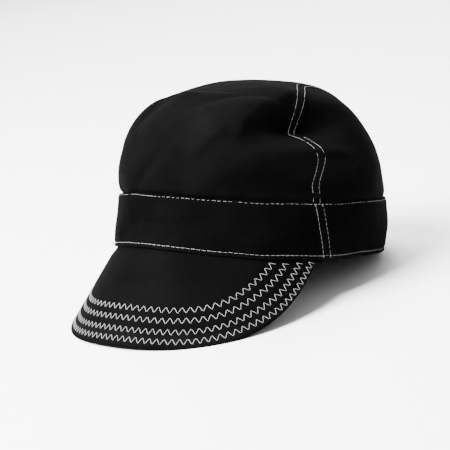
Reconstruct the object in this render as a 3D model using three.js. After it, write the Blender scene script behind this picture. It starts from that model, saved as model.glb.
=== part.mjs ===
// A welding cap of black cotton: a soft dented crown of three panels, a broad stitched band in two
// lengths, and a stiffened brim that slopes steeply down. It rests by itself on a table, tipped back
// on the edge of its brim and the back of its hem.
//
// The cap is worked out upright, in millimetres: the hem lies at z = 0, the front is -Y and the
// wearer's left is +X. The last group then tips it back onto the table.
//
// Crown and band share one cloth surface, the skin. A place on the skin is a point (p, q) of a flat
// disc, as if the cap were pressed flat from above: its rim is the hem, its middle is the top of the
// crown, and the distance from the rim is the climb, the share of the way from the hem to the top.
import * as THREE from "three";

// Driving sizes, in millimetres
const HEAD_LENGTH = 204; // inside the band, front to back
const HEAD_WIDTH = 162; // inside the band, side to side
const BAND_HEIGHT = 38;
const CROWN_RISE = 81; // from the band's top edge to the top of the crown
const FRONT_ARCH = 7; // how far the hem is raised over the forehead
const CLOTH = 1.2; // wall of the crown panels and of the brim's root
const BAND_WALL = 1.8; // the band is cloth folded double
const BRIM_WALL = 3; // two cloths and a stiffener
const BRIM_LENGTH = 71; // from the hem to the edge, along the slope
const TUCK = 9; // how far the crown goes down, and the brim up, inside the band
const CLEARANCE = 0.3; // between pieces that are sewn to each other
const FLATTENING = 2; // how much of the edge the table presses flat

// Driving angles, in degrees. Angles round the cap are counted from its front, and slopes from level
const FRONT_SLOPE_ANGLE = 64;
const SIDE_SLOPE_ANGLE = 55;
const BRIM_END_ANGLE = 80;
const SEAM_HEM_ANGLE = 82;
const SEAM_BAND_TOP_ANGLE = 78;
const SEAM_BACK_ANGLE = 160;

// The upright outline of the cap over the forehead, at the side and at the back. Rises are shares of
// the band's height or of the crown's rise, and reaches are shares of the head's half length or width
const BAND_SECTIONS = [
  { rise: 0.0, front: 1.01, side: 1.0, back: 1.0 },
  { rise: 0.3, front: 1.005, side: 1.005, back: 1.02 },
  { rise: 0.65, front: 0.98, side: 1.0, back: 1.03 },
  { rise: 1.0, front: 0.958, side: 0.995, back: 1.02 },
];
const CROWN_SECTIONS = [
  { rise: 0.06, front: 0.985, side: 1.003, back: 1.012 },
  { rise: 0.16, front: 1.005, side: 1.005, back: 0.99 },
  { rise: 0.3, front: 0.998, side: 0.985, back: 0.955 },
  { rise: 0.46, front: 0.96, side: 0.945, back: 0.912 },
  { rise: 0.6, front: 0.908, side: 0.88, back: 0.832 },
  { rise: 0.72, front: 0.825, side: 0.795, back: 0.75 },
  { rise: 0.82, front: 0.7, side: 0.69, back: 0.655 },
  { rise: 0.89, front: 0.53, side: 0.555, back: 0.575 },
  { rise: 0.95, front: 0.35, side: 0.39, back: 0.46 },
  { rise: 0.985, front: 0.17, side: 0.22, back: 0.33 },
  { rise: 1.0, front: 0.0, side: 0.0, back: 0.0 },
];

// The seam between the front panel and a back panel: up the side from the band, round a corner near
// the top, and down to the band again at the back
const CROWN_SEAM = [
  { climb: 0.335, angle: 79 },
  { climb: 0.43, angle: 77 },
  { climb: 0.52, angle: 75 },
  { climb: 0.6, angle: 77.5 },
  { climb: 0.68, angle: 84.5 },
  { climb: 0.74, angle: 94.5 },
  { climb: 0.785, angle: 108 },
  { climb: 0.79, angle: 121 },
  { climb: 0.73, angle: 136 },
  { climb: 0.61, angle: 149 },
  { climb: 0.47, angle: 156 },
];

// Dents (below zero) and rolls (above zero) of the soft cloth. Each lies about a middle, given by its
// angle round the cap and its climb, and its long axis is turned from level. Lengths and widths are
// half of each fold's own, as shares of the head's width, and depths are shares of it too
const FOLDS = [
  { angle: 76, climb: 0.545, turn: 4, length: 0.2, width: 0.085, depth: -0.105 },
  { angle: 80, climb: 0.39, turn: -3, length: 0.26, width: 0.045, depth: 0.032 },
  { angle: 68, climb: 0.28, turn: 0, length: 0.3, width: 0.06, depth: -0.035 },
  { angle: 30, climb: 0.435, turn: 40, length: 0.14, width: 0.035, depth: -0.016 },
  { angle: -3, climb: 0.31, turn: 48, length: 0.12, width: 0.03, depth: -0.014 },
  { angle: -12, climb: 0.63, turn: 35, length: 0.25, width: 0.04, depth: 0.014 },
  { angle: 50, climb: 0.67, turn: 5, length: 0.2, width: 0.03, depth: -0.015 },
  { angle: -3, climb: 0.14, turn: 10, length: 0.09, width: 0.045, depth: -0.016 },
  { angle: -75, climb: 0.55, turn: 8, length: 0.22, width: 0.1, depth: -0.055 },
  { angle: 180, climb: 0.4, turn: 3, length: 0.3, width: 0.07, depth: -0.03 },
];

// How finely the faces are divided
const FRONT_COLUMNS = 28;
const BACK_COLUMNS = 18;
const BACK_ROWS = 15;
const SEAM_ROWS = 2 * BACK_ROWS + BACK_COLUMNS;
const BAND_BACK_COLUMNS = 40;
const TUCK_ROWS = 2;
const BAND_ROWS = 4;
const BRIM_ROWS = 8;

const DEGREE = Math.PI / 180;
const HALF_LENGTH = HEAD_LENGTH / 2;
const HALF_WIDTH = HEAD_WIDTH / 2;
const MEAN_HALF = (HALF_LENGTH + HALF_WIDTH) / 2;
const FULL_HEIGHT = BAND_HEIGHT + CROWN_RISE;
const lerp = THREE.MathUtils.lerp;

// One upright outline of the cap as a curve of (reach in mm, height in mm), from the hem to the top
function outlineCurve(side) {
  const points = [
    ...BAND_SECTIONS.map((s) => [s[side], s.rise * BAND_HEIGHT]),
    ...CROWN_SECTIONS.map((s) => [s[side], BAND_HEIGHT + s.rise * CROWN_RISE]),
  ];
  return new THREE.SplineCurve(
    points.map(([reach, height]) => new THREE.Vector2(reach * MEAN_HALF, height)),
  );
}
const OUTLINES = {
  front: outlineCurve("front"),
  side: outlineCurve("side"),
  back: outlineCurve("back"),
};
const CLIMB_LENGTH = OUTLINES.side.getLength();
const BAND_CLIMB = BAND_HEIGHT / CLIMB_LENGTH;
const TUCK_CLIMB = (BAND_HEIGHT - TUCK) / CLIMB_LENGTH;

// A place on the disc from its climb and its angle round the cap
function onDisc(climb, angle) {
  const radius = 1 - climb;
  return new THREE.Vector2(radius * Math.sin(angle * DEGREE), -radius * Math.cos(angle * DEGREE));
}

// The skin without its folds
function plainSkin({ x: p, y: q }) {
  const radius = Math.hypot(p, q);
  const sine = radius > 0 ? p / radius : 0;
  const cosine = radius > 0 ? -q / radius : 1;
  const climb = Math.min(Math.max(1 - radius, 0), 1);
  const end = OUTLINES[cosine > 0 ? "front" : "back"].getPointAt(climb);
  const side = OUTLINES.side.getPointAt(climb);
  const outline = side.lerp(end, cosine * cosine);
  const reach = outline.x / MEAN_HALF;
  const arch = FRONT_ARCH * Math.max(cosine, 0) ** 3 * (1 - outline.y / FULL_HEIGHT);
  return new THREE.Vector3(HALF_WIDTH * reach * sine, -HALF_LENGTH * reach * cosine, outline.y + arch);
}

// The way out of a surface at a place on the disc, and its two tangents
function tangents(surface, place, step = 1e-3) {
  const east = new THREE.Vector2(step, 0);
  const north = new THREE.Vector2(0, step);
  const difference = (way) =>
    surface(place.clone().add(way)).sub(surface(place.clone().sub(way))).divideScalar(2 * step);
  const alongP = difference(east);
  const alongQ = difference(north);
  return { alongP, alongQ, out: alongP.clone().cross(alongQ).normalize() };
}

// Each fold with its middle, its two axes and its way out, worked out on the plain skin
const PLACED_FOLDS = FOLDS.map((fold) => {
  const place = onDisc(fold.climb, fold.angle);
  const { out } = tangents(plainSkin, place);
  const level = new THREE.Vector3(0, 0, 1).cross(out).normalize();
  const along = level.applyAxisAngle(out, fold.turn * DEGREE);
  const across = out.clone().cross(along);
  return { ...fold, middle: plainSkin(place), along, across, out };
});

// The skin: the inner face of the cloth, with its dents and rolls
function skin(place) {
  const point = plainSkin(place);
  const { out } = tangents(plainSkin, place);
  let depth = 0;
  for (const fold of PLACED_FOLDS) {
    const away = point.clone().sub(fold.middle);
    const alongShare = away.dot(fold.along) / (fold.length * HEAD_WIDTH);
    const acrossShare = away.dot(fold.across) / (fold.width * HEAD_WIDTH);
    const inwardShare = away.dot(fold.out) / MEAN_HALF;
    depth += fold.depth * HEAD_WIDTH * Math.exp(-(alongShare ** 2) - acrossShare ** 2 - inwardShare ** 2);
  }
  const hemShare = THREE.MathUtils.smoothstep(point.z, 0, BAND_HEIGHT + TUCK);
  return point.addScaledVector(out, depth * hemShare);
}

// A point at some distance out from the skin
function offSkin(place, distance) {
  return skin(place).addScaledVector(tangents(skin, place).out, distance);
}

// The seam on the wearer's left. Up the band it leans, and above that it is one curve on the disc
function seamAngle(climb) {
  return lerp(SEAM_HEM_ANGLE, SEAM_BAND_TOP_ANGLE, climb / BAND_CLIMB);
}
const SEAM = new THREE.SplineCurve([
  onDisc(BAND_CLIMB, SEAM_BAND_TOP_ANGLE),
  ...CROWN_SEAM.map(({ climb, angle }) => onDisc(climb, angle)),
  onDisc(BAND_CLIMB, SEAM_BACK_ANGLE),
]);
// The angle, in degrees, that half the clearance takes up round the band
const GAP_ANGLE = CLEARANCE / 2 / (MEAN_HALF * DEGREE);

// The place that lies beside the seam, a distance in mm into the front panel
function besideSeam(share, distance) {
  const place = SEAM.getPointAt(share);
  const along = SEAM.getTangentAt(share);
  const { alongP, alongQ, out } = tangents(plainSkin, place);
  const run = alongP.clone().multiplyScalar(along.x).addScaledVector(alongQ, along.y);
  const aside = out.clone().cross(run).setLength(distance);
  const [pp, pq, qq] = [alongP.dot(alongP), alongP.dot(alongQ), alongQ.dot(alongQ)];
  const [sp, sq] = [aside.dot(alongP), aside.dot(alongQ)];
  const scale = 1 / (pp * qq - pq * pq);
  return place.add(new THREE.Vector2((sp * qq - sq * pq) * scale, (sq * pp - sp * pq) * scale));
}

// The table's plane, in the upright cap's frame: the cap tips back until its brim and its hem touch
function tableFor(tilt) {
  const up = new THREE.Vector3(0, -Math.sin(tilt), Math.cos(tilt));
  const lowest = (points) => Math.min(...points.map((point) => point.dot(up)));
  const angles = Array.from({ length: 91 }, (_, i) => i);
  const brim = angles.filter((a) => a <= BRIM_END_ANGLE).map((a) => brimPoint(a, 1, -1));
  const hem = angles.map((a) => bandPoint(90 + a, 0, BAND_WALL));
  return { up, brim: lowest(brim), hem: lowest(hem) };
}
function restingTilt() {
  let [low, high] = [0, Math.PI / 4];
  for (let i = 0; i < 40; i++) {
    const middle = (low + high) / 2;
    const table = tableFor(middle);
    if (table.brim < table.hem) low = middle;
    else high = middle;
  }
  return low;
}

// A point of the band: its angle, its climb as a share of the band's, and its depth in the wall
function bandPoint(angle, share, depth) {
  return offSkin(onDisc(share * BAND_CLIMB, angle), CLOTH + CLEARANCE + depth);
}

// How far the brim reaches at an angle, along its slope
function brimLength(angle) {
  const share = Math.min(Math.abs(angle) / BRIM_END_ANGLE, 1);
  return BRIM_LENGTH * Math.max((1 - share ** 3.5) ** 1.5, 0.03);
}

// A point of the brim. share runs from -1, the top of its root inside the band, over 0, the bend
// under the hem, to 1, its edge. side is 1 on the upper face of the wall and -1 on the lower
function brimPoint(angle, share, side) {
  if (share < 0) return offSkin(onDisc((-share * TUCK) / CLIMB_LENGTH, angle), (CLOTH / 2) * (1 + side));
  const outward = tangents(plainSkin, onDisc(0, angle)).out.setZ(0).normalize();
  const slope = lerp(FRONT_SLOPE_ANGLE, SIDE_SLOPE_ANGLE, Math.sin(angle * DEGREE) ** 2) * DEGREE;
  const down = outward.clone().multiplyScalar(Math.cos(slope)).setZ(-Math.sin(slope));
  const face = outward.clone().multiplyScalar(Math.sin(slope)).setZ(Math.cos(slope));
  const distance = share * brimLength(angle);
  const wall = lerp(CLOTH, BRIM_WALL, THREE.MathUtils.smoothstep(distance, 0, 3 * BRIM_WALL));
  return skin(onDisc(0, angle))
    .addScaledVector(outward, CLOTH / 2)
    .add(new THREE.Vector3(0, 0, -CLEARANCE))
    .addScaledVector(down, distance)
    .addScaledVector(face, (wall / 2) * side);
}

const TILT = restingTilt();
const TABLE = tableFor(TILT);
const TABLE_HEIGHT = Math.min(TABLE.brim, TABLE.hem) + FLATTENING;

// Presses a point that lies under the table's plane up onto it
function pressed(point) {
  const under = TABLE_HEIGHT - point.dot(TABLE.up);
  return under > 0 ? point.addScaledVector(TABLE.up, under) : point;
}

// A closed wall over a grid of columns and rows: outer face, inner face and the edges between them.
// at(i, j, outer) gives a point; columns run to the right and rows upwards as seen from outside
function wallGeometry(columns, rows, at) {
  const points = [];
  for (const outer of [true, false])
    for (let i = 0; i <= columns; i++)
      for (let j = 0; j <= rows; j++) points.push(pressed(at(i, j, outer)));
  const layer = (columns + 1) * (rows + 1);
  const outside = (i, j) => i * (rows + 1) + j;
  const inside = (i, j) => layer + outside(i, j);
  const faces = [];
  const quad = (a, b, c, d) => faces.push(a, b, c, a, c, d);
  for (let i = 0; i < columns; i++) {
    for (let j = 0; j < rows; j++) {
      quad(outside(i, j), outside(i + 1, j), outside(i + 1, j + 1), outside(i, j + 1));
      quad(inside(i, j), inside(i, j + 1), inside(i + 1, j + 1), inside(i + 1, j));
    }
    quad(inside(i, 0), inside(i + 1, 0), outside(i + 1, 0), outside(i, 0));
    quad(outside(i, rows), outside(i + 1, rows), inside(i + 1, rows), inside(i, rows));
  }
  for (let j = 0; j < rows; j++) {
    quad(outside(0, j), outside(0, j + 1), inside(0, j + 1), inside(0, j));
    quad(inside(columns, j), inside(columns, j + 1), outside(columns, j + 1), outside(columns, j));
  }
  const geometry = new THREE.BufferGeometry().setFromPoints(points);
  geometry.setIndex(faces);
  geometry.computeVertexNormals();
  return geometry;
}

// The climb of a row of the tuck, counted up from the crown's lower edge
function tuckClimb(row) {
  return lerp(TUCK_CLIMB, BAND_CLIMB, row / TUCK_ROWS);
}

// The front panel covers the forehead from seam to seam and runs on over the top to the back
function frontPanel() {
  const rim = 1 - BAND_CLIMB;
  const strip = 180 - SEAM_BACK_ANGLE;
  const place = (i, j) => {
    const side = (2 * i) / FRONT_COLUMNS - 1;
    const [above, beyond] = [j - TUCK_ROWS, TUCK_ROWS + SEAM_ROWS - j];
    if (above < 0) return onDisc(tuckClimb(j), side * (seamAngle(tuckClimb(j)) - GAP_ANGLE));
    if (beyond < 0) return onDisc(tuckClimb(TUCK_ROWS + beyond), 180 - side * (strip - GAP_ANGLE));
    const share = above / SEAM_ROWS;
    const end = besideSeam(share, CLEARANCE / 2);
    const middle = rim * (2 * share - 1);
    const bow = lerp(SEAM_BAND_TOP_ANGLE, strip, share) * DEGREE;
    return new THREE.Vector2(
      (end.x * Math.sin(side * bow)) / Math.sin(bow),
      middle + ((end.y - middle) * (1 - Math.cos(side * bow))) / (1 - Math.cos(bow)),
    );
  };
  const rows = SEAM_ROWS + 2 * TUCK_ROWS;
  return wallGeometry(FRONT_COLUMNS, rows, (i, j, outer) => offSkin(place(i, j), outer ? CLOTH : 0));
}

// A back panel lies inside the bend of the seam. Its first and last columns follow the seam's two
// arms and its last row goes round the corner. sign is 1 on the wearer's left and -1 on the right
function backPanel(sign) {
  const edge = (row) => besideSeam(row / SEAM_ROWS, -CLEARANCE / 2);
  const level = (climb, across) =>
    onDisc(climb, lerp(seamAngle(climb) + GAP_ANGLE, SEAM_BACK_ANGLE - GAP_ANGLE, across));
  const blend = (a, b, share) => a.clone().lerp(b, share);
  const place = (i, j) => {
    const column = sign > 0 ? i : BACK_COLUMNS - i;
    const row = j - TUCK_ROWS;
    const [across, upward] = [column / BACK_COLUMNS, row / BACK_ROWS];
    if (row < 0) return level(tuckClimb(j), across);
    const ends = blend(edge(0), edge(SEAM_ROWS), across);
    const corners = blend(edge(BACK_ROWS), edge(SEAM_ROWS - BACK_ROWS), across);
    return blend(level(BAND_CLIMB, across), edge(BACK_ROWS + column), upward)
      .add(blend(edge(row), edge(SEAM_ROWS - row), across))
      .sub(blend(ends, corners, upward));
  };
  const mirrored = (point) => point.setX(sign * point.x);
  return wallGeometry(BACK_COLUMNS, BACK_ROWS + TUCK_ROWS, (i, j, outer) =>
    offSkin(mirrored(place(i, j)), outer ? CLOTH : 0),
  );
}

// A length of the band between two angles that may lean as the seam does
function bandLength(columns, angleAt) {
  return wallGeometry(columns, BAND_ROWS, (i, j, outer) => {
    const share = j / BAND_ROWS;
    return bandPoint(angleAt(i / columns, seamAngle(share * BAND_CLIMB)), share, outer ? BAND_WALL : 0);
  });
}
const bandFront = () =>
  bandLength(FRONT_COLUMNS, (across, seam) => lerp(-1, 1, across) * (seam - GAP_ANGLE));
const bandBack = () =>
  bandLength(BAND_BACK_COLUMNS, (across, seam) => lerp(seam + GAP_ANGLE, 360 - seam - GAP_ANGLE, across));

// The brim, with its root turned up inside the band
function brim() {
  const shares = [-1, -0.5];
  for (let j = 0; j <= BRIM_ROWS; j++) shares.unshift(j / BRIM_ROWS);
  return wallGeometry(FRONT_COLUMNS, shares.length - 1, (i, j, outer) =>
    brimPoint(lerp(-BRIM_END_ANGLE, BRIM_END_ANGLE, i / FRONT_COLUMNS), shares[j], outer ? 1 : -1),
  );
}

const CROWN_CLOTH = new THREE.MeshStandardMaterial({ color: 0x141415, roughness: 0.85 });
const BAND_CLOTH = new THREE.MeshStandardMaterial({ color: 0x121213, roughness: 0.85 });
const BRIM_CLOTH = new THREE.MeshStandardMaterial({ color: 0x161617, roughness: 0.8 });

const cap = new THREE.Group();
const pieces = [
  ["crown_front", frontPanel(), CROWN_CLOTH],
  ["crown_back_left", backPanel(1), CROWN_CLOTH],
  ["crown_back_right", backPanel(-1), CROWN_CLOTH],
  ["band_front", bandFront(), BAND_CLOTH],
  ["band_back", bandBack(), BAND_CLOTH],
  ["brim", brim(), BRIM_CLOTH],
];
for (const [name, geometry, material] of pieces) {
  const mesh = new THREE.Mesh(geometry, material);
  mesh.name = name;
  cap.add(mesh);
}

// The cap tips back onto the table, and its middle comes over the origin
cap.rotation.x = -TILT;
cap.updateMatrixWorld(true);
const box = new THREE.Box3().setFromObject(cap, true);
const middle = box.getCenter(new THREE.Vector3());
cap.position.set(-middle.x, -middle.y, -box.min.z);

const weldingCap = new THREE.Group();
weldingCap.add(cap);
export default weldingCap;
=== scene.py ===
import math

import bpy
import numpy as np
from bpy.props import FloatProperty, FloatVectorProperty, PointerProperty
from mathutils import Matrix, Vector


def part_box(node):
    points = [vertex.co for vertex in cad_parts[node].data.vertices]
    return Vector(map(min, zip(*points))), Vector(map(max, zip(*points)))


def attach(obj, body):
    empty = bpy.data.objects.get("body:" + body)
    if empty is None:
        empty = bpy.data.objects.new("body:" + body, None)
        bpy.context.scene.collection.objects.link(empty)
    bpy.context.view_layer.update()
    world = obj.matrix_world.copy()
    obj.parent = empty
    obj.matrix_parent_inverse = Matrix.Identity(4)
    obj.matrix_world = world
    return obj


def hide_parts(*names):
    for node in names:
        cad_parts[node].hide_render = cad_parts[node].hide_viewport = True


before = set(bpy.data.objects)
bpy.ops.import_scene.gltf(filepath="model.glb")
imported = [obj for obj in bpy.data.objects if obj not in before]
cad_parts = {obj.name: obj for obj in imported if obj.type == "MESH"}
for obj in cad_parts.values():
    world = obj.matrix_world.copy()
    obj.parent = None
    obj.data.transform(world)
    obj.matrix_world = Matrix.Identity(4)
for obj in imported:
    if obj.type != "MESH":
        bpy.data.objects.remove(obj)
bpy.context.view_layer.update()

bl_info = {
    "name": "Welding Cap",
    "version": (1, 0, 0),
    "blender": (4, 5, 0),
    "location": "3D View > Sidebar > Cap",
    "description": "Sews a soft black cotton cap piece by piece and lays it on a pale floor",
    "category": "Add Mesh",
}

# The upright outline of the cap over the forehead, at the side and at the back. A row is the rise as
# a share of the band's height or of the crown's, then the reach in front, at the side and behind
BAND_SECTIONS = [
    (0.0, 1.01, 1.0, 1.0),
    (0.3, 1.005, 1.005, 1.02),
    (0.65, 0.98, 1.0, 1.03),
    (1.0, 0.958, 0.995, 1.02),
]
CROWN_SECTIONS = [
    (0.06, 0.985, 1.003, 1.012),
    (0.16, 1.005, 1.005, 0.99),
    (0.3, 0.998, 0.985, 0.955),
    (0.46, 0.96, 0.945, 0.912),
    (0.6, 0.908, 0.88, 0.832),
    (0.72, 0.825, 0.795, 0.75),
    (0.82, 0.7, 0.69, 0.655),
    (0.89, 0.53, 0.555, 0.575),
    (0.95, 0.35, 0.39, 0.46),
    (0.985, 0.17, 0.22, 0.33),
    (1.0, 0.0, 0.0, 0.0),
]
# The side seam over the crown: climb and angle round the cap
CROWN_SEAM = [
    (0.335, 79), (0.43, 77), (0.52, 75), (0.6, 77.5), (0.68, 84.5), (0.74, 94.5),
    (0.785, 108), (0.79, 121), (0.73, 136), (0.61, 149), (0.47, 156),
]
# Soft dents and rolls: angle, climb, turn from level, then length, width and depth as shares of the
# head's width
FOLDS = [
    (76, 0.545, 4, 0.2, 0.085, -0.105),
    (80, 0.39, -3, 0.26, 0.045, 0.032),
    (68, 0.28, 0, 0.3, 0.06, -0.035),
    (-3, 0.31, 48, 0.12, 0.03, -0.014),
    (-12, 0.63, 35, 0.25, 0.04, 0.014),
    (50, 0.67, 5, 0.2, 0.03, -0.015),
    (-3, 0.14, 10, 0.09, 0.045, -0.016),
    (-75, 0.55, 8, 0.22, 0.1, -0.055),
    (180, 0.4, 3, 0.3, 0.07, -0.03),
]
# Lines of the pulled cloth: the height of the ridge in millimetres, less than nothing for a crease, how
# far it falls away on the line's left and on its right, then the line's places, as angle and climb
CROWN_LINES = [
    (3.4, 6, 24, [(97, 0.74), (68, 0.685), (57, 0.65), (49, 0.59), (43, 0.52), (42, 0.45), (46, 0.4)]),
    (2.5, 16, 5, [(19, 0.36), (25, 0.41), (30, 0.45), (38, 0.51)]),
    (1.8, 13, 8, [(18, 0.2), (30, 0.285), (40, 0.345), (57, 0.385), (72, 0.39)]),
    (-0.8, 4, 3, [(-9, 0.23), (1, 0.32), (10, 0.39)]),
    (1.3, 3, 9, [(-12, 0.41), (-10, 0.48), (-7, 0.53), (-5, 0.58), (-2, 0.63), (3, 0.74)]),
    (-0.5, 3, 4, [(18, 0.68), (45, 0.71), (70, 0.7)]),
    (-0.5, 4, 4, [(96, 0.35), (112, 0.26)]),
    (0.5, 5, 5, [(98, 0.6), (106, 0.48)]),
    (2.0, 13, 13, [(104, 0.32), (120, 0.34), (136, 0.34), (160, 0.32)]),
    (-1.1, 4, 3, [(-26, 0.43), (-20, 0.5), (-16, 0.57), (-11, 0.68)]),
    (-0.5, 4, 4, [(150, 0.3), (160, 0.37), (170, 0.42)]),
    (-0.6, 4, 6, [(-60, 0.32), (-70, 0.36), (-80, 0.42)]),
    (0.6, 5, 8, [(-100, 0.3), (-120, 0.4)]),
    (-0.5, 4, 4, [(-30, 0.3), (-46, 0.42)]),
    (-0.5, 4, 4, [(200, 0.3), (215, 0.44)]),
]
BAND_LINES = [
    (-3.4, 7, 5, [
        (-24, 0.035), (-18, 0.04), (-11, 0.049), (-5, 0.068), (1, 0.078), (8, 0.076), (13, 0.059),
        (21, 0.042),
    ]),
    (-1.2, 6, 6, [(8, 0.07), (21, 0.042), (28, 0.032), (41, 0.025), (57, 0.023), (80, 0.023)]),
    (1.2, 4, 8, [(-60, 0.205), (-30, 0.205), (0, 0.2), (30, 0.2), (60, 0.2)]),
    (1.6, 7, 6, [(-26, 0.13), (-5, 0.14), (10, 0.135), (34, 0.12)]),
    (0.7, 7, 7, [(120, 0.06), (150, 0.12), (185, 0.08)]),
    (-0.6, 6, 6, [(-60, 0.05), (-85, 0.12), (-120, 0.09)]),
]
# The welt beside a seam: its height, how many times as far as the stitches it reaches, then the depth of
# the groove under the stitches and at the seam
CROWN_WELT = (0.0008, 2.1, 0.0005, 0.0006)
BAND_WELT = (0.0006, 2.0, 0.0004, 0.0005)
# From one pucker beside a seam to the next
PUCKER = 0.0036
# The height of the cap's middle, and how far to the left of it and below it the picture's middle lies
CAP_MIDDLE, PICTURE_MIDDLE = 0.04, (0.0192, 0.0222)
# Each light's size, and its place ahead of the cap as the camera sees it, to the right and above
LIGHTS = {
    "key": (1.0, 0.5, -1.0, 1.3),
    "fill": (1.4, 0.9, 1.4, 0.7),
    "top": (1.0, -0.7, -0.2, 1.5),
    "back": (1.4, -1.3, 0.1, 0.8),
}
# How bluntly a stitch dives into its needle holes
STRAIGHT, ZIGZAG = 7, 10
# The sewing of the brim: how far each zigzag row lies from the brim's edge, and the width of one zag
ZIGZAG_ROWS = [(0.0056, 0.0054), (0.0124, 0.0054), (0.0204, 0.0056), (0.0279, 0.0056)]


def length_size(name, description, default):
    return FloatProperty(name=name, description=description, default=default, min=0.0, unit="LENGTH")


def angle_size(name, description, degrees):
    return FloatProperty(
        name=name, description=description, default=math.radians(degrees), subtype="ANGLE", unit="ROTATION"
    )


def cloth_colour(name, description, default):
    return FloatVectorProperty(
        name=name, description=description, default=default, size=3, min=0.0, max=1.0, subtype="COLOR"
    )


def light_power(name, description, watts):
    return FloatProperty(name=name, description=description, default=watts, min=0.0, unit="POWER")


class CapSizes(bpy.types.PropertyGroup):
    """The sizes of the cap's cut"""

    head_length: length_size("Head length", "Inside the band, front to back", 0.204)
    head_width: length_size("Head width", "Inside the band, side to side", 0.162)
    band_height: length_size("Band height", "From the hem to the band's top edge", 0.038)
    crown_rise: length_size("Crown rise", "From the band's top edge to the top of the crown", 0.081)
    front_arch: length_size("Front arch", "How far the hem is raised over the forehead", 0.007)
    cloth: length_size("Cloth", "Wall of the crown panels", 0.0012)
    band_wall: length_size("Band wall", "Wall of the doubled band", 0.0018)
    brim_wall: length_size("Brim wall", "Wall of the stiffened brim", 0.003)
    brim_length: length_size("Brim length", "From the hem to the edge along the slope", 0.071)
    tuck: length_size("Tuck", "How far the crown and the brim go up or down inside the band", 0.009)
    clearance: length_size("Clearance", "Between sewn pieces", 0.0003)
    flattening: length_size("Flattening", "How much of the edge the table presses flat", 0.002)
    front_slope: angle_size("Front slope", "Slope of the brim in front, from level", 64)
    side_slope: angle_size("Side slope", "Slope of the brim at its sides, from level", 55)
    brim_end: angle_size("Brim end", "Where the brim ends, round the cap from its front", 80)
    seam_hem: angle_size("Seam at hem", "The side seam's place at the hem", 82)
    seam_band_top: angle_size("Seam at band top", "The side seam's place at the band's top edge", 78)
    seam_back: angle_size("Seam at back", "Where the crown's seam comes down behind", 160)


class CapSewing(bpy.types.PropertyGroup):
    """The sizes of the stitches"""

    band_pitch: length_size("Band pitch", "From one stitch of the band to the next", 0.0036)
    seam_pitch: length_size("Seam pitch", "From one stitch of the seams to the next", 0.003)
    shown: FloatProperty(name="Shown", description="Share of a stitch that lies on the cloth", default=0.93)
    thread: length_size("Thread", "Thickness of the thread of the straight rows", 0.00021)
    zigzag_thread: length_size("Zigzag thread", "Thickness of the thread of the zigzag rows", 0.00027)
    seam_row: length_size("Seam row", "From the seam to the row on either side", 0.0028)
    hem_row: length_size("Hem row", "From the hem up to the band's lower row", 0.0028)
    top_row: length_size("Top row", "From the band's top edge down to its upper row", 0.0013)
    zigzag_height: length_size("Zigzag height", "Across a zigzag row, needle hole to hole", 0.0045)


class CapColours(bpy.types.PropertyGroup):
    """The colours of cloth and thread"""

    crown: cloth_colour("Crown", "Black cotton of the crown", (0.0008, 0.0008, 0.00085))
    band: cloth_colour("Band", "Black cotton of the band", (0.0005, 0.0005, 0.00055))
    brim: cloth_colour("Brim", "Black cotton of the brim", (0.0007, 0.0007, 0.00075))
    # This lighter colour serves worn places, uneven dye and the painted highlight on the crown's ridges
    faded_and_lit: cloth_colour("Faded", "The cotton where it is worn", (0.0035, 0.0034, 0.0034))
    thread: cloth_colour("Thread", "Pale grey sewing thread", (0.2, 0.2, 0.203))


class CapStudio(bpy.types.PropertyGroup):
    """The studio"""

    floor: cloth_colour("Floor", "Pale floor", (0.65, 0.65, 0.653))
    lens: FloatProperty(name="Lens", description="Focal length", default=181.84, unit="CAMERA")
    key: light_power("Key light", "Upper left light", 360)
    fill: light_power("Fill light", "Broad light from the right", 6)
    top: light_power("Top light", "Light from above and behind", 95)
    back: light_power("Back light", "Light on the back of the cap", 25)
    sky: FloatProperty(name="Sky", description="Brightness of the room", default=0.8, min=0.0)
    camera_turn: angle_size("Camera turn", "Round the cap from its front", 43)
    camera_climb: angle_size("Camera climb", "Above the level of the upright cap", 3.24)
    camera_roll: angle_size("Camera roll", "Roll of the picture", 0.73)
    camera_distance: length_size("Camera distance", "From the cap to the camera", 1.6)


def smoothstep(low, high, value):
    share = np.clip((value - low) / (high - low), 0, 1)
    return share * share * (3 - 2 * share)


def hump(value, width):
    """One where the value is nothing, falling smoothly away on both sides"""
    return np.exp(-((value / width) ** 2))


def unit(vectors):
    return vectors / np.maximum(np.linalg.norm(vectors, axis=-1, keepdims=True), 1e-12)


def rumple(points, scale, seed):
    """Smooth hills and hollows between -1 and 1, the same on every run."""
    lattice = np.random.default_rng(seed).uniform(-1, 1, (24, 24, 24))
    place = np.asarray(points) / scale
    cell = np.floor(place).astype(int)
    part = place - cell
    part = part * part * (3 - 2 * part)
    total = 0
    for corner in np.ndindex(2, 2, 2):
        weight = np.prod(np.where(corner, part, 1 - part), axis=-1)
        i, j, k = np.moveaxis((cell + corner) % 24, -1, 0)
        total = total + lattice[i, j, k] * weight
    return total


def gathered(count):
    """Columns from -1 to 1 that lie closer together towards both ends"""
    turn = np.linspace(-1, 1, count)
    return (turn * (1.3 - 0.3 * turn**2))[:, None]


def run_lengths(points, axis=0):
    """Length run so far along a line, or along each line of a grid."""
    steps = np.linalg.norm(np.diff(points, axis=axis), axis=-1)
    return np.insert(np.cumsum(steps, axis=axis), 0, 0, axis=axis)


def read_along(runs, table, at):
    """The rows of a table, read between at lengths run along a line"""
    return np.stack([np.interp(at, runs, column) for column in table.T], -1)


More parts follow.
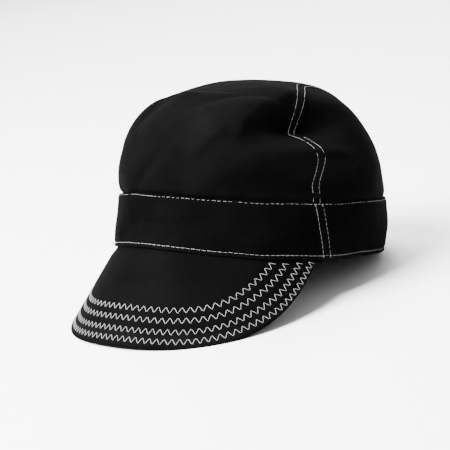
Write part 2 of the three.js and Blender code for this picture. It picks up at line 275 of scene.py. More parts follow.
class Curve:
    """A smooth curve through points, read by its share of length"""

    def __init__(self, points, steps=60):
        knots = np.array(points, float)
        last = len(knots) - 1
        run = np.linspace(0, last, last * steps + 1)
        i = np.minimum(run.astype(int), last - 1)
        t = (run - i)[:, None]
        before, start = knots[np.maximum(i - 1, 0)], knots[i]
        end, after = knots[i + 1], knots[np.minimum(i + 2, last)]
        leave, arrive = (end - before) / 2, (after - start) / 2
        cubic = 2 * start - 2 * end + leave + arrive
        square = -3 * start + 3 * end - 2 * leave - arrive
        self.points = cubic * t**3 + square * t**2 + leave * t + start
        self.runs = run_lengths(self.points)
        self.length = self.runs[-1]

    def at(self, share):
        return read_along(self.runs, self.points, np.asarray(share, float) * self.length)


class CapForm:
    """The cap's surfaces. A place is a point of a flat disc whose rim is the hem and whose middle is
    the top of the crown; the distance from the rim is the climb. Points are upright, in metres"""

    def __init__(self, sizes):
        self.s = sizes
        self.half_length, self.half_width = sizes.head_length / 2, sizes.head_width / 2
        self.mean_half = (self.half_length + self.half_width) / 2
        self.full_height = sizes.band_height + sizes.crown_rise
        self.outlines = [self.outline(column) for column in (1, 2, 3)]
        self.climb_length = self.outlines[1].length
        self.band_climb = sizes.band_height / self.climb_length
        tuck_climb = (sizes.band_height - sizes.tuck) / self.climb_length
        self.tucked = tuck_climb + (self.band_climb - tuck_climb) * np.linspace(0, 1, 4)[:-1]
        self.seam_hem, self.seam_top = math.degrees(sizes.seam_hem), math.degrees(sizes.seam_band_top)
        self.seam_back, self.brim_end = math.degrees(sizes.seam_back), math.degrees(sizes.brim_end)
        self.folds = [self.place_fold(*fold) for fold in FOLDS]
        self.seam = Curve(
            [self.on_disc(self.band_climb, self.seam_top)]
            + [self.on_disc(climb, angle) for climb, angle in CROWN_SEAM]
            + [self.on_disc(self.band_climb, self.seam_back)]
        )
        self.rest_on_table()
        path = self.seam.at(np.linspace(0, 1, 1500))
        self.seam_lines = [self.skin(path * [side, 1]) for side in (1, -1)]
        self.seam_runs = run_lengths(self.seam_lines[0])
        self.crown_lines = [self.place_line(*line) for line in CROWN_LINES]
        self.band_lines = [self.place_line(*line) for line in BAND_LINES]

    def outline(self, column):
        points = [(row[column] * self.mean_half, row[0] * self.s.band_height) for row in BAND_SECTIONS]
        points += [
            (row[column] * self.mean_half, self.s.band_height + row[0] * self.s.crown_rise)
            for row in CROWN_SECTIONS
        ]
        return Curve(points)

    @staticmethod
    def on_disc(climb, angle):
        radius, turn = 1 - np.asarray(climb, float), np.radians(angle)
        return np.stack(np.broadcast_arrays(radius * np.sin(turn), -radius * np.cos(turn)), -1)

    def plain_skin(self, place):
        p, q = place[..., 0], place[..., 1]
        radius = np.hypot(p, q)
        safe = np.maximum(radius, 1e-9)
        sine, cosine = p / safe, -q / safe
        climb = np.clip(1 - radius, 0, 1)
        front, side, back = (outline.at(climb) for outline in self.outlines)
        end = np.where((cosine > 0)[..., None], front, back)
        mixed = side + (end - side) * (cosine**2)[..., None]
        reach, height = mixed[..., 0] / self.mean_half, mixed[..., 1]
        arch = self.s.front_arch * np.maximum(cosine, 0) ** 3 * (1 - height / self.full_height)
        return np.stack(
            [self.half_width * reach * sine, -self.half_length * reach * cosine, height + arch], -1
        )

    @staticmethod
    def tangents(surface, place, step=1e-3):
        east, north = np.array([step, 0.0]), np.array([0.0, step])
        along_p = (surface(place + east) - surface(place - east)) / (2 * step)
        along_q = (surface(place + north) - surface(place - north)) / (2 * step)
        return along_p, along_q, unit(np.cross(along_p, along_q))

    def place_fold(self, angle, climb, turn, length, width, depth):
        place = self.on_disc(climb, angle)
        out = self.tangents(self.plain_skin, place)[2]
        level = unit(np.cross([0, 0, 1.0], out))
        turned = math.radians(turn)
        along = level * math.cos(turned) + np.cross(out, level) * math.sin(turned)
        return self.plain_skin(place), along, np.cross(out, along), out, length, width, depth

    def skin(self, place):
        """The inner face of the crown's cloth, with its dents and rolls"""
        point = self.plain_skin(place)
        out = self.tangents(self.plain_skin, place)[2]
        depth = np.zeros(point.shape[:-1])
        scale = self.s.head_width
        for middle, along, across, way, length, width, deep in self.folds:
            away = point - middle
            over = hump(away @ along, length * scale) * hump(away @ across, width * scale)
            depth += deep * scale * over * hump(away @ way, self.mean_half)
        depth *= smoothstep(0, self.s.band_height + self.s.tuck, point[..., 2])
        return point + out * depth[..., None]

    def off_skin(self, place, distance):
        return self.skin(place) + self.tangents(self.skin, place)[2] * np.asarray(distance)[..., None]

    def seam_angle(self, climb):
        return self.seam_hem + (self.seam_top - self.seam_hem) * climb / self.band_climb

    def beside_seam(self, share, distance):
        """Places that lie beside the seam, a distance into the front panel"""
        place = self.seam.at(share)
        along = unit(self.seam.at(np.minimum(share + 0.002, 1)) - self.seam.at(np.maximum(share - 0.002, 0)))
        along_p, along_q, out = self.tangents(self.plain_skin, place)
        run = along_p * along[..., :1] + along_q * along[..., 1:]
        aside = unit(np.cross(out, run)) * distance
        pp, pq, qq = (along_p**2).sum(-1), (along_p * along_q).sum(-1), (along_q**2).sum(-1)
        sp, sq = (aside * along_p).sum(-1), (aside * along_q).sum(-1)
        area = pp * qq - pq * pq
        return place + np.stack([(sp * qq - sq * pq) / area, (sq * pp - sp * pq) / area], -1)

    def brim_reach(self, angle):
        share = np.minimum(np.abs(angle) / self.brim_end, 1)
        return self.s.brim_length * np.maximum((1 - share**3.5) ** 1.5, 0.03)

    def brim_axes(self, angle):
        """Where the brim's middle layer starts under the hem, its way down the slope, and its way up"""
        place = self.on_disc(0, angle)
        outward = unit(self.tangents(self.plain_skin, place)[2] * [1, 1, 0])
        front, side = self.s.front_slope, self.s.side_slope
        slope = (front + (side - front) * np.sin(np.radians(angle)) ** 2)[..., None]
        upward = np.array([0, 0, 1.0])
        down = outward * np.cos(slope) - upward * np.sin(slope)
        face = outward * np.sin(slope) + upward * np.cos(slope)
        start = self.skin(place) + outward * self.s.cloth / 2 - upward * self.s.clearance
        return start, down, face

    def brim_wall_at(self, distance):
        thick = self.s.brim_wall
        return self.s.cloth + (thick - self.s.cloth) * smoothstep(0, 3 * thick, distance)

    def brim_point(self, angle, distance, side):
        start, down, face = self.brim_axes(angle)
        half = self.brim_wall_at(distance) / 2
        return start + down * distance[..., None] + face * (half * side)[..., None]

    def rest_on_table(self):
        """Tips the cap back until the brim's edge and the back of the hem touch the table"""
        turns = np.arange(0.0, 91.0)
        brim_turns = turns[turns <= self.brim_end]
        brim = self.brim_point(brim_turns, self.brim_reach(brim_turns), -1.0)
        hem = self.off_skin(self.on_disc(0, 90 + turns), self.s.cloth + self.s.clearance + self.s.band_wall)
        low, high = 0.0, math.pi / 4
        for _ in range(40):
            middle = (low + high) / 2
            up = np.array([0, -math.sin(middle), math.cos(middle)])
            if (brim @ up).min() < (hem @ up).min():
                low = middle
            else:
                high = middle
        self.tilt = low
        self.up = np.array([0, -math.sin(low), math.cos(low)])
        self.table = min((brim @ self.up).min(), (hem @ self.up).min()) + self.s.flattening
        columns = np.linspace(-self.brim_end, self.brim_end, 29)
        edges = [self.brim_point(columns, self.brim_reach(columns), side) for side in (1.0, -1.0)]
        foremost = min((self.pressed(edge) @ [0, math.cos(low), math.sin(low)]).min() for edge in edges)
        self.shift = np.array([0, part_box("brim")[0][1] - foremost, -self.table])

    def pressed(self, points):
        under = np.maximum(self.table - points @ self.up, 0)
        return points + under[..., None] * self.up

    def laid(self, points):
        """Points of the upright cap, as they lie on the floor"""
        x, y, z = np.moveaxis(self.pressed(points), -1, 0)
        c, s = math.cos(self.tilt), math.sin(self.tilt)
        return np.stack([x, y * c + z * s, z * c - y * s], -1) + self.shift

    @staticmethod
    def nearest_on(line, points):
        """The nearest of a line's points to each point, and how far it is, for some points at a time"""
        squares = (line**2).sum(1)
        distance, nearest = np.empty(len(points)), np.empty(len(points), int)
        for first in range(0, len(points), 6000):
            batch = slice(first, first + 6000)
            part = points[batch]
            apart = (part**2).sum(1)[:, None] + squares - 2 * part @ line.T
            nearest[batch] = apart.argmin(1)
            distance[batch] = np.sqrt(np.maximum(apart.min(1), 0))
        return nearest, distance

    def seam_distance(self, points):
        """Distance to the side seam of the same side and the run along it"""
        flat = points.reshape(-1, 3)
        nearest, distance = np.empty(len(flat), int), np.empty(len(flat))
        for line, there in zip(self.seam_lines, (flat[:, 0] >= 0, flat[:, 0] < 0)):
            nearest[there], distance[there] = self.nearest_on(line, flat[there])
        return distance.reshape(points.shape[:-1]), self.seam_runs[nearest].reshape(points.shape[:-1])

    def place_line(self, height, left, right, places):
        """A line of the pulled cloth as points, with the way to its left and its sizes in metres"""
        path = Curve([self.on_disc(climb, angle) for angle, climb in places]).at(np.linspace(0, 1, 160))
        line = self.skin(path)
        leftwards = unit(np.cross(self.tangents(self.plain_skin, path)[2], np.gradient(line, axis=0)))
        return line, leftwards, height / 1000, left / 1000, right / 1000

    def drawn(self, points, lines):
        """How far the lines of the pulled cloth lift it"""
        flat = points.reshape(-1, 3)
        total = np.zeros(len(flat))
        for line, leftwards, height, left, right in lines:
            nearest, distance = self.nearest_on(line, flat)
            on_left = ((flat - line[nearest]) * leftwards[nearest]).sum(1) > 0
            share = nearest / (len(line) - 1)
            ends = smoothstep(0, 0.25, share) * smoothstep(1, 0.75, share)
            total += height * ends * hump(distance, np.where(on_left, left, right))
        return total.reshape(points.shape[:-1])

    @staticmethod
    def seam_welt(apart, sizes):
        """The doubled cloth beside a seam, with a groove under each row of stitches and at the seam"""
        row = sewing_sizes().seam_row
        height, reach, under_row, at_seam = sizes
        welt = height * (1 - smoothstep(row, reach * row, apart))
        return welt - under_row * hump(apart - row, 0.0008) - at_seam * hump(apart, 0.0006)

    def crown_relief(self, point, place):
        """How far the sewn cloth stands off its plain shape, how worn it is beside the seams, and the
        painted highlight on the ridges and painted shade in the creases of the pulled cloth
        """
        row = sewing_sizes().seam_row
        apart, run = self.seam_distance(point)
        above = point[..., 2] - self.s.band_height - self.s.front_arch * np.maximum(-place[..., 1], 0) ** 3
        relief = self.seam_welt(apart, CROWN_WELT)
        # Puckers beside the seam, then the lines of the pulled cloth and its soft unevenness
        pucker = np.sin(run / PUCKER * math.pi * 2) * 0.4 + rumple(point, 0.006, 5)
        relief += 0.00022 * pucker * hump(apart - row, 0.004)
        lift = self.drawn(point, self.crown_lines)
        relief += lift
        relief += rumple(point, 0.034, 1) * 0.0005 + rumple(point, 0.016, 2) * 0.00015
        # Gathers just above the band, where the cloth stands out
        gather = rumple(point * [1, 1, 0.3], 0.009, 6)
        relief += 0.0004 * gather * np.exp(-np.maximum(above, 0) / 0.009)
        relief += 0.0006 * hump(above - 0.005, 0.005)
        fade = smoothstep(-0.0005, 0.003, above)
        wear = 0.55 * hump(apart - row / 2, 0.0012)
        # Worn beside the seams; 120 times the lift of the pulled-cloth lines adds painted highlight on their
        # ridges and painted shade in their creases
        return relief * fade, wear * (0.6 + 0.4 * rumple(point, 0.012, 8)) * fade + 120 * lift

    def crown_point(self, place):
        """The crown's outer face as sewn"""
        relief, wear = self.crown_relief(self.skin(place), place)
        return self.off_skin(place, self.s.cloth + relief), wear

    def band_point(self, angle, height, depth):
        """The band as sewn: height above the hem along the cloth, and depth in its wall"""
        sewing = sewing_sizes()
        s = self.s
        share = height / s.band_height
        place = self.on_disc(share * self.band_climb, angle)
        base = self.skin(place)
        away = np.abs((np.abs((angle + 180) % 360 - 180) - self.seam_angle(share * self.band_climb)))
        apart = np.radians(away) * self.mean_half
        outer = depth / s.band_wall
        relief = self.seam_welt(apart, BAND_WELT)
        # A groove under each row of stitches
        relief -= 0.00045 * hump(height - sewing.hem_row, 0.0009)
        relief -= 0.0004 * hump(height - s.band_height + sewing.top_row, 0.0008)
        # Ripples along both edges and waves between them
        edge = np.exp(-height / 0.006) + np.exp((height - s.band_height) / 0.006)
        ripple = rumple(base * [1, 1, 0.4], 0.007, 11)
        wave = rumple(base * [1, 1, 0.5], 0.03, 12)
        relief += 0.0002 * ripple * edge + 0.0003 * wave * np.sin(share * math.pi)
        relief += self.drawn(base, self.band_lines)
        # The top edge lies closer, and the whole band goes up and down a little
        taper = 0.0003 * smoothstep(s.band_height - 0.004, s.band_height, height)
        lift = 0.0005 * rumple(base * [1, 1, 0], 0.02, 13)
        point = self.off_skin(place, s.cloth + s.clearance + depth + outer * (relief - taper))
        point = point + np.array([0, 0, 1.0]) * (lift * (1 - 0.3 * share))[..., None]
        wear = np.exp(-np.maximum(height, 0) / 0.0012) + 0.6 * np.exp((height - s.band_height) / 0.001)
        wear = 0.5 * wear + 0.4 * hump(apart - sewing.seam_row / 2, 0.0012)
        return point, np.clip(wear, 0, 1) * (0.6 + 0.4 * rumple(base, 0.01, 14)) * outer


def sewing_sizes():
    return bpy.context.scene.cap_sewing


def deselect():
    if bpy.context.mode != "OBJECT":
        bpy.ops.object.mode_set(mode="OBJECT")
    bpy.ops.object.select_all(action="DESELECT")


def sewn_grid(name, points, across, along, wear):
    """A flat grid laid over a table of points, with its cloth map and its worn places, which on the crown
    also hold painted highlight and painted shade
    """
    columns, rows = points.shape[0] - 1, points.shape[1] - 1
    deselect()
    bpy.ops.mesh.primitive_grid_add(x_subdivisions=columns, y_subdivisions=rows, size=1)
    piece = bpy.context.object
    piece.name = piece.data.name = name
    mesh = piece.data
    flat = np.empty(len(mesh.vertices) * 3)
    mesh.vertices.foreach_get("co", flat)
    flat = flat.reshape(-1, 3)
    i = np.rint((flat[:, 0] + 0.5) * columns).astype(int)
    j = np.rint((flat[:, 1] + 0.5) * rows).astype(int)
    mesh.vertices.foreach_set("co", points[i, j].astype(np.float32).ravel())
    # This attribute holds the worn places and, on the crown, painted highlight and painted shade
    worn = mesh.attributes.new("wear", "FLOAT", "POINT")
    worn.data.foreach_set("value", np.broadcast_to(wear, points.shape[:2])[i, j].astype(np.float32))
    corner = np.empty(len(mesh.loops), int)
    mesh.loops.foreach_get("vertex_index", corner)
    cloth_map = np.stack([across[i, j], along[i, j]], -1)[corner]
    mesh.uv_layers[0].name = "Cloth"
    mesh.uv_layers[0].data.foreach_set("uv", cloth_map.astype(np.float32).ravel())
    mesh.update()
    return piece


def cloth_lengths(points):
    """Run across from the middle column and along the middle column, for the weave"""
    across = run_lengths(points, 0)
    across = across - across[across.shape[0] // 2]
    along = np.broadcast_to(run_lengths(points[points.shape[0] // 2]), across.shape)
    return across, along


def close_sweep(piece):
    """Welds the last row of a swept profile to its first and closes its two ends"""
    bpy.ops.object.mode_set(mode="EDIT")
    bpy.ops.mesh.select_all(action="SELECT")
    bpy.ops.mesh.remove_doubles(threshold=2e-6)
    bpy.ops.mesh.select_all(action="DESELECT")
    bpy.ops.mesh.select_mode(type="EDGE")
    bpy.ops.mesh.select_non_manifold()
    bpy.ops.mesh.edge_face_add()
    bpy.ops.mesh.select_all(action="SELECT")
    bpy.ops.mesh.normals_make_consistent(inside=False)
    bpy.ops.object.mode_set(mode="OBJECT")


def finish_piece(piece, slot, material, *nodes):
    bpy.context.view_layer.objects.active = piece
    piece.select_set(True)
    bpy.ops.object.shade_smooth()
    piece.data.materials.clear()
    piece.data.materials.append(material)
    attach(piece, "root")
    if nodes:
        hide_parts(*nodes)


def lay_cloth(form, node, slot, points, wear, cloth, wall=0.0):
    """Lays a table of upright points as one piece, closed by its wall, or as a swept profile"""
    piece = sewn_grid(node + "_cloth", form.laid(points), *cloth_lengths(points), wear)
    if wall:
        solid = piece.modifiers.new("Wall", "SOLIDIFY")
        solid.thickness, solid.offset, solid.use_even_offset = wall, -1, False
        bpy.ops.object.modifier_apply(modifier=solid.name)
    else:
        close_sweep(piece)
    finish_piece(piece, slot, cloth, node)


class Wiring:
    """Short calls for laying out a shader's nodes"""

    def __init__(self, tree):
        self.tree = tree

    def add(self, kind, **settings):
        node = self.tree.nodes.new(kind)
        for key, value in settings.items():
            setattr(node, key, value)
        return node

    def feed(self, socket, value):
        if isinstance(value, bpy.types.NodeSocket):
            self.tree.links.new(value, socket)
        else:
            socket.default_value = value

    def math(self, operation, *values, clamp=False):
        node = self.add("ShaderNodeMath", operation=operation, use_clamp=clamp)
        for socket, value in zip(node.inputs, values):
            self.feed(socket, value)
        return node.outputs[0]

    def mix(self, factor, first, second):
        node = self.add("ShaderNodeMix", data_type="RGBA")
        for index, value in ((0, factor), (6, first), (7, second)):
            self.feed(node.inputs[index], value)
        return node.outputs[2]

    def noise(self, place, scale, detail=2.0, roughness=0.5):
        node = self.add("ShaderNodeTexNoise")
        inputs = {"Vector": place, "Scale": scale, "Detail": detail, "Roughness": roughness}
        for label, value in inputs.items():
            self.feed(node.inputs[label], value)
        return node.outputs["Fac"]

    def bump(self, strength, distance, height, **under):
        node = self.add("ShaderNodeBump")
        for label, value in {"Strength": strength, "Distance": distance, "Height": height, **under}.items():
            self.feed(node.inputs[label], value)
        return node.outputs[0]

    def span(self, value, low, high, to_low=0.0, to_high=1.0):
        node = self.add("ShaderNodeMapRange", clamp=True)
        for socket, number in zip(node.inputs, (value, low, high, to_low, to_high)):
            self.feed(socket, number)
        return node.outputs[0]


def node_group(name, inputs, outputs):
    tree = bpy.data.node_groups.new(name, "ShaderNodeTree")
    for label, kind, default in inputs:
        socket = tree.interface.new_socket(label, in_out="INPUT", socket_type="NodeSocket" + kind)
        if default is not None:
            socket.default_value = default
    for label, kind in outputs:
        tree.interface.new_socket(label, in_out="OUTPUT", socket_type="NodeSocket" + kind)
    wiring = Wiring(tree)
    return wiring, wiring.add("NodeGroupInput").outputs, wiring.add("NodeGroupOutput").inputs


def twill_weave():
    """Fine diagonal ribs with the weft between them, from a map in metres"""
    if "Twill weave" in bpy.data.node_groups:
        return bpy.data.node_groups["Twill weave"]
    w, given, out = node_group(
        "Twill weave",
        [("Map", "Vector", None), ("Rib", "Float", 0.0009)],
        [("Height", "Float")],
    )
    split = w.add("ShaderNodeSeparateXYZ")
    w.feed(split.inputs[0], given["Map"])
    turn = w.math("DIVIDE", math.pi * 2, given["Rib"])
    uneven = w.math("MULTIPLY", w.noise(given["Map"], 260.0, 1.0), 0.0006)
    diagonal = w.math("ADD", w.math("ADD", split.outputs[0], split.outputs[1]), uneven)
    rib = w.math("SINE", w.math("MULTIPLY", diagonal, turn))
    straight = w.math("SUBTRACT", split.outputs[1], uneven)
    weft = w.math("SINE", w.math("MULTIPLY", straight, w.math("MULTIPLY", turn, 1.7)))
    total = w.math("ADD", w.math("MULTIPLY", rib, 0.35), w.math("MULTIPLY", weft, 0.15))
    w.feed(out["Height"], w.math("ADD", total, 0.5))
    return w.tree


def used_cotton():
    """Washed cotton: uneven dye, lighter where worn and under painted highlight, darker under painted shade,
    and small rumples
    """
    if "Used cotton" in bpy.data.node_groups:
        return bpy.data.node_groups["Used cotton"]
    w, given, out = node_group(
        "Used cotton",
        [
            ("Place", "Vector", None),
            ("Dye", "Color", None),
            ("Faded", "Color", None),
            ("Wear", "Float", None),
            ("Uneven dye", "Float", 0.18),
        ],
        [("Colour", "Color"), ("Roughness", "Float"), ("Height", "Float")],
    )
    cloudy = w.span(w.noise(given["Place"], 28.0, 3.0), 0.35, 0.7)
    lint = w.span(w.noise(given["Place"], 900.0, 1.0), 0.62, 0.8, 0.0, 0.12)
    uneven = w.math("MULTIPLY", cloudy, given["Uneven dye"])
    # The mix towards the lighter cotton: uneven dye plus the worn places, which on the crown also hold
    # painted highlight and painted shade
    faded_and_lit = w.math("ADD", uneven, w.math("MULTIPLY", given["Wear"], 0.55))
    rough = w.noise(given["Place"], 140.0, 3.0, 0.6)
    w.feed(out["Colour"], w.mix(w.math("ADD", faded_and_lit, lint, clamp=True), given["Dye"], given["Faded"]))
    w.feed(out["Roughness"], w.span(rough, 0.2, 0.8, 0.78, 0.94))
    small = w.noise(given["Place"], 320.0, 2.0, 0.55)
    w.feed(out["Height"], w.math("ADD", w.math("MULTIPLY", rough, 0.6), w.math("MULTIPLY", small, 0.25)))
    return w.tree


def twisted_thread():
    """Plies wound round a thread, from a map of metres along and turns round, with painted shade in the
    grooves between the plies
    """
    if "Twisted thread" in bpy.data.node_groups:
        return bpy.data.node_groups["Twisted thread"]
    w, given, out = node_group(
        "Twisted thread",
        [("Map", "Vector", None), ("Thread", "Color", None), ("Shade", "Color", None)],
        [("Colour", "Color"), ("Height", "Float")],
    )
    split = w.add("ShaderNodeSeparateXYZ")
    w.feed(split.inputs[0], given["Map"])
    along = w.math("MULTIPLY", split.outputs[0], math.pi * 2 / 0.0007)
    round_it = w.math("MULTIPLY", split.outputs[1], math.pi * 2)
    ply = w.math("ADD", w.math("MULTIPLY", w.math("SINE", w.math("ADD", along, round_it)), 0.5), 0.5)
    # Painted shade: the darker Shade colour in the grooves between the plies
    w.feed(out["Colour"], w.mix(ply, given["Shade"], given["Thread"]))
    w.feed(out["Height"], ply)
    return w.tree


def new_material(name):
    material = bpy.data.materials.new(name)
    material.use_nodes = True
    wiring = Wiring(material.node_tree)
    return material, wiring, material.node_tree.nodes["Principled BSDF"].inputs


def use_group(wiring, tree, **values):
    node = wiring.add("ShaderNodeGroup", node_tree=tree)
    for label, value in values.items():
        wiring.feed(node.inputs[label.replace("_", " ")], value)
    return node.outputs


def cotton_cloth(name, dye, sheen=0.001):
    if name in bpy.data.materials:
        return bpy.data.materials[name]
    material, w, shader = new_material(name)
    cloth_map = w.add("ShaderNodeUVMap", uv_map="Cloth").outputs[0]
    place = w.add("ShaderNodeTexCoord").outputs["Object"]
    # Worn places, with the crown's painted highlight and painted shade
    wear = w.add("ShaderNodeAttribute", attribute_name="wear").outputs["Fac"]
    faded_and_lit = (*bpy.context.scene.cap_colours.faded_and_lit, 1)
    cotton = use_group(w, used_cotton(), Place=place, Dye=(*dye, 1), Faded=faded_and_lit, Wear=wear)
    weave = use_group(w, twill_weave(), Map=cloth_map, Rib=0.0009)
    w.feed(shader["Base Color"], cotton["Colour"])
    w.feed(shader["Roughness"], cotton["Roughness"])
    rumples = w.bump(0.35, 0.0006, cotton["Height"])
    w.feed(shader["Normal"], w.bump(0.3, 0.00025, weave["Height"], Normal=rumples))
    shader["Specular IOR Level"].default_value = 0.005
    shader["Sheen Weight"].default_value = sheen
    shader["Sheen Roughness"].default_value = 0.45
    shader["Sheen Tint"].default_value = (0.9, 0.92, 1.0, 1)
    return material


def sewing_thread():
    if "Sewing thread" in bpy.data.materials:
        return bpy.data.materials["Sewing thread"]
    material, w, shader = new_material("Sewing thread")
    thread = np.array(bpy.context.scene.cap_colours.thread)
    thread_map = w.add("ShaderNodeUVMap", uv_map="Thread").outputs[0]
    # Shade is the thread colour darkened as painted shade between the plies
    twist = use_group(w, twisted_thread(), Map=thread_map, Thread=(*thread, 1), Shade=(*(thread * 0.62), 1))
    w.feed(shader["Base Color"], twist["Colour"])
    w.feed(shader["Normal"], w.bump(0.5, 0.0001, twist["Height"]))
    shader["Roughness"].default_value = 0.6
    shader["Sheen Weight"].default_value = 0.2
    return material


def one_stitch(thread, blunt):
    """One stitch as sewn: a thread that rises out of the cloth, runs level and dives again, more
    steeply the blunter it is. Its points are a share of its length, and metres sideways and up"""
    deselect()
    bpy.ops.mesh.primitive_uv_sphere_add(segments=8, ring_count=8, radius=0.5, rotation=(0, math.pi / 2, 0))
    bpy.ops.object.transform_apply(rotation=True)
    ball = bpy.context.object
    bpy.ops.object.mode_set(mode="EDIT")
    bpy.ops.mesh.select_all(action="SELECT")
    bpy.ops.mesh.quads_convert_to_tris()
    bpy.ops.object.mode_set(mode="OBJECT")
    mesh = ball.data
    points = np.array([v.co for v in mesh.vertices])
    faces = np.array([tuple(p.vertices) for p in mesh.polygons])
    bpy.data.objects.remove(ball)
    share = points[:, 0] + 0.5
    fat = (1 - np.abs(2 * share - 1) ** blunt) ** 0.5
    ring = unit(np.append(np.zeros((len(points), 1)), points[:, 1:], 1))[:, 1:]
    lift = 0.95 * thread * (1 - np.abs(2 * share - 1) ** (blunt - 1)) - 0.55 * thread
    side = ring[:, 0] * fat * thread / 2
    up = ring[:, 1] * fat * thread / 2 * 0.85 + lift
    turns = np.arctan2(ring[:, 1], ring[:, 0]) / (2 * math.pi)
    return np.stack([share, side, up, turns], -1), faces


def sew(name, starts, ends, outs, thread, blunt):
    """Copies the stitch from each needle hole to the next and keeps them as one piece"""
    stitch, faces = one_stitch(thread, blunt)
    run = ends - starts
    along = unit(run)
    side = unit(np.cross(outs, along))
    up = np.cross(along, side)
    share, aside, above, turns = stitch.T
    points = (
        starts[:, None] + run[:, None] * share[:, None]
        + side[:, None] * aside[:, None] + up[:, None] * above[:, None]
    )
    count = len(stitch)
    triangles = (faces[None] + (np.arange(len(starts)) * count)[:, None, None]).reshape(-1, 3)
    mesh = bpy.data.meshes.new(name)
    mesh.from_pydata(points.reshape(-1, 3).tolist(), [], triangles.tolist())
    thread_map = mesh.uv_layers.new(name="Thread")
    lengths = np.linalg.norm(run, axis=-1)[:, None] * share
    corners = np.stack([lengths.ravel(), np.tile(turns, len(starts))], -1)[triangles.ravel()]
    thread_map.data.foreach_set("uv", corners.astype(np.float32).ravel())
    piece = bpy.data.objects.new(name, mesh)
    bpy.context.collection.objects.link(piece)
    deselect()
    return piece


def straight_row(line, outs, pitch, seed):
    """Needle holes of a straight row along a line of points, with a hand's small unevenness"""
    chance = np.random.default_rng(seed)
    runs = run_lengths(line)
    count = int(runs[-1] / pitch)
    stitch = pitch * sewing_sizes().shown
    first = np.arange(count) * runs[-1] / count + chance.uniform(-0.04, 0.04, count) * pitch

    starts, ends = read_along(runs, line, first), read_along(runs, line, first + stitch)
    out = unit(read_along(runs, outs, first + stitch / 2))
    aside = unit(np.cross(out, ends - starts)) * chance.uniform(-0.0001, 0.0001, (count, 1))
    return starts + aside, ends + aside, out


def add_rows(form, name, slot, rows, thread, blunt):
    """Sews rows of stitches on the laid cap, from needle holes given on the upright one"""
    starts, ends, outs = (np.concatenate(part) for part in zip(*rows))
    tips = form.laid(starts + outs * 1e-3)
    starts, ends = form.laid(starts), form.laid(ends)
    finish_piece(sew(name, starts, ends, unit(tips - starts), thread, blunt), slot, sewing_thread())


class SewingStep(bpy.types.Operator):
    """A step of making the cap"""

    bl_options = {"REGISTER", "UNDO"}

    @property
    def form(self):
        return CapForm(bpy.context.scene.cap_sizes)


class CAP_OT_crown_front(SewingStep):
    """Lay the front panel from seam to seam and over the top"""

    bl_idname = "object.cap_crown_front"
    bl_label = "Crown front panel"

    def execute(self, context):
        form = self.form
        side = gathered(171)
        shares = np.linspace(0, 1, 267)
        rim, strip = 1 - form.band_climb, 180 - form.seam_back
        below = form.on_disc(form.tucked, side * form.seam_angle(form.tucked))
        beyond = form.on_disc(form.tucked, 180 - side * strip)[:, ::-1]
        end = form.seam.at(shares)
        middle = rim * (2 * shares - 1)
        bow = np.radians(form.seam_top + (strip - form.seam_top) * shares)
        panel = np.stack(
            [
                end[:, 0] * np.sin(side * bow) / np.sin(bow),
                middle + (end[:, 1] - middle) * (1 - np.cos(side * bow)) / (1 - np.cos(bow)),
            ],
            -1,
        )
        place = np.concatenate([below, panel, beyond], 1)
        cloth = cotton_cloth("Crown cotton", context.scene.cap_colours.crown)
        lay_cloth(form, "crown_front", "crown_cloth", *form.crown_point(place), cloth, form.s.cloth)
        return {"FINISHED"}


class CAP_OT_crown_backs(SewingStep):
    """Lay the two back panels inside the bend of the seams"""

    bl_idname = "object.cap_crown_backs"
    bl_label = "Crown back panels"

    def execute(self, context):
        form = self.form
        columns, rows = 161, 111
        # The share of the seam beside each arm of the panel, up to its corner
        arm = 0.3125
        across = (gathered(columns) + 1) / 2
        upward = np.linspace(0, 1, rows)
        upward = upward * (1.35 - 0.35 * upward)

        def blend(first, second, share):
            return first + (second - first) * share[..., None]

        def level(climb):
            seam = form.seam_angle(climb)
            return form.on_disc(climb, seam + (form.seam_back - seam) * across)

        edge = form.seam.at
        row, column = (np.broadcast_to(steps, (columns, rows)) for steps in (upward, across))
        arms = blend(edge(arm * row), edge(1 - arm * row), column)
        ends = blend(edge(0), edge(1), column)
        corners = blend(edge(arm), edge(1 - arm), column)
        top = edge(arm + (1 - 2 * arm) * column)
        place = blend(level(form.band_climb), top, row) + arms - blend(ends, corners, row)
        place = np.concatenate([level(form.tucked), place], 1)
        cloth = cotton_cloth("Crown cotton", context.scene.cap_colours.crown)
        for name, sign in (("crown_back_left", 1), ("crown_back_right", -1)):
            points, wear = form.crown_point(place[::sign] * [sign, 1])
            lay_cloth(form, name, "crown_cloth", points, wear, cloth, form.s.cloth)
        return {"FINISHED"}


class CAP_OT_band(SewingStep):
    """Wrap the doubled band round the cap in two lengths"""

    bl_idname = "object.cap_band"
    bl_label = "Band"

    def execute(self, context):
        form = self.form
        s = form.s
        half = s.band_wall / 2
        bend = np.linspace(0, math.pi, 9)
        face = np.linspace(0, 1, 36)[1:-1]
        inner = np.linspace(1, 0, 12)[1:-1]
        tall = s.band_height - 2 * half
        high, wide = half * np.sin(bend), half * np.cos(bend)
        top = s.band_height - half
        height = np.concatenate([half - high, half + tall * face, top + high, half + tall * inner, [half]])
        depth = np.concatenate([half - wide, 0 * face + 2 * half, half + wide, 0 * inner, [0]])
        seam = form.seam_angle(height / s.band_height * form.band_climb)
        cloth = cotton_cloth("Band cotton", context.scene.cap_colours.band, sheen=0.0005)
        for name, columns in (("band_front", 260), ("band_back", 300)):
            share = np.linspace(0, 1, columns + 1)[:, None]
            in_front = name == "band_front"
            angle = (2 * share - 1) * seam if in_front else seam + (360 - 2 * seam) * share
            lay_cloth(form, name, "band_cloth", *form.band_point(angle, height, depth), cloth)
        return {"FINISHED"}


